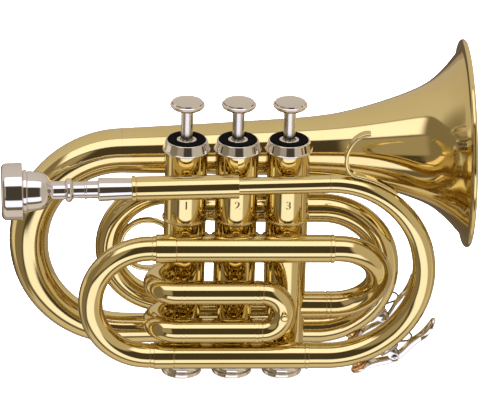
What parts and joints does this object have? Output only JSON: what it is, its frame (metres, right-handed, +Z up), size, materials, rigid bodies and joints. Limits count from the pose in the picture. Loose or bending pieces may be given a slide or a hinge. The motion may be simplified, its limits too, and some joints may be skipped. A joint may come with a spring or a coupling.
{
  "type": "pocket trumpet",
  "caption": "Compact piston-valve trumpet whose tubing is wound into tight loops, with a removable mouthpiece, tuning slides and water keys.",
  "frame": {"origin": "centre of the middle valve's bottom cap, on the plane of the three bottom caps that the trumpet stands on", "axes": "+X towards the bell's mouth, +Y towards the back where the bell runs, +Z up along the valves towards the finger buttons"},
  "size_m": [0.2193, 0.1039, 0.1532],
  "materials": {
    "lacquered_brass": "polished, clear lacquered",
    "nickel_silver": "polished",
    "silver_plate": "polished",
    "piston_metal": "lapped",
    "spring_steel": "oil-darkened",
    "black_felt": "felt",
    "cork": "cork"
  },
  "bodies": {
    "root": {"valve_casing_1": "lacquered_brass", "valve_casing_2": "lacquered_brass", "valve_casing_3": "lacquered_brass", "bottom_cap_1": "nickel_silver", "bottom_cap_2": "nickel_silver", "bottom_cap_3": "nickel_silver", "top_cap_1": "nickel_silver", "top_cap_2": "nickel_silver", "top_cap_3": "nickel_silver", "top_felt_1": "black_felt", "top_felt_2": "black_felt", "top_felt_3": "black_felt", "valve_spring_1": "spring_steel", "valve_spring_2": "spring_steel", "valve_spring_3": "spring_steel", "valve_connector_12": "lacquered_brass", "valve_connector_23": "lacquered_brass", "casing_brace_12": "lacquered_brass", "casing_brace_23": "lacquered_brass", "mouthpiece_receiver": "lacquered_brass", "leadpipe": "lacquered_brass", "lead_bow": "lacquered_brass", "lower_tuning_sleeve": "lacquered_brass", "upper_tuning_sleeve": "lacquered_brass", "entry_crook": "lacquered_brass", "first_knuckle_upper": "lacquered_brass", "first_knuckle_lower": "lacquered_brass", "second_sleeve_upper": "lacquered_brass", "second_sleeve_lower": "lacquered_brass", "third_knuckle_upper": "lacquered_brass", "third_knuckle_lower": "lacquered_brass", "bell": "lacquered_brass", "bell_bow": "lacquered_brass", "rear_bow": "lacquered_brass", "rear_branch": "lacquered_brass", "thumb_ring": "lacquered_brass", "finger_hook": "lacquered_brass", "water_key_saddle_1": "nickel_silver", "water_key_saddle_2": "nickel_silver", "water_key_spring_1": "spring_steel", "water_key_spring_2": "spring_steel"},
    "valve_1": {"finger_button_1": "nickel_silver", "valve_stem_1": "nickel_silver", "piston_1": "piston_metal"},
    "valve_2": {"finger_button_2": "nickel_silver", "valve_stem_2": "nickel_silver", "piston_2": "piston_metal"},
    "valve_3": {"finger_button_3": "nickel_silver", "valve_stem_3": "nickel_silver", "piston_3": "piston_metal"},
    "mouthpiece": {"mouthpiece": "silver_plate"},
    "tuning_slide": {"tuning_slide": "lacquered_brass"},
    "first_slide": {"first_slide": "lacquered_brass", "first_slide_knob": "lacquered_brass"},
    "second_slide": {"second_slide": "lacquered_brass"},
    "third_slide": {"third_slide": "lacquered_brass"},
    "water_key_1": {"water_key_lever_1": "nickel_silver", "water_key_cork_1": "cork"},
    "water_key_2": {"water_key_lever_2": "nickel_silver", "water_key_cork_2": "cork"}
  },
  "joints": [
    {"name": "valve_1_press", "type": "slide", "parent": "root", "child": "valve_1", "axis": [0, 0, -1], "range_m": [0, 0.0145], "stiffness_N_per_m": 60, "springref_m": -0.04, "deforming": ["valve_spring_1"]},
    {"name": "valve_2_press", "type": "slide", "parent": "root", "child": "valve_2", "axis": [0, 0, -1], "range_m": [0, 0.0145], "stiffness_N_per_m": 60, "springref_m": -0.04, "deforming": ["valve_spring_2"]},
    {"name": "valve_3_press", "type": "slide", "parent": "root", "child": "valve_3", "axis": [0, 0, -1], "range_m": [0, 0.0145], "stiffness_N_per_m": 60, "springref_m": -0.04, "deforming": ["valve_spring_3"]},
    {"name": "mouthpiece_pull", "type": "slide", "parent": "root", "child": "mouthpiece", "axis": [-0.9996, 0, -0.0271], "range_m": [0, 0.03]},
    {"name": "tuning_slide_pull", "type": "slide", "parent": "root", "child": "tuning_slide", "axis": [-1, 0, 0], "range_m": [0, 0.025]},
    {"name": "first_slide_pull", "type": "slide", "parent": "root", "child": "first_slide", "axis": [1, 0, 0], "range_m": [0, 0.02]},
    {"name": "second_slide_pull", "type": "slide", "parent": "root", "child": "second_slide", "axis": [0, 1, 0], "range_m": [0, 0.01]},
    {"name": "third_slide_pull", "type": "slide", "parent": "root", "child": "third_slide", "axis": [1, 0, 0], "range_m": [0, 0.013]},
    {"name": "water_key_1_open", "type": "hinge", "parent": "root", "child": "water_key_1", "pos_m": [0.07472, -0.017, 0.01667], "axis": [0, -1, 0], "range_deg": [0, 7], "stiffness_Nm_per_rad": 0.02, "springref_deg": -34.38},
    {"name": "water_key_2_open", "type": "hinge", "parent": "root", "child": "water_key_2", "pos_m": [0.07296, 0.017, 0.0193], "axis": [0, -1, 0], "range_deg": [0, 7], "stiffness_Nm_per_rad": 0.02, "springref_deg": -34.38}
  ]
}
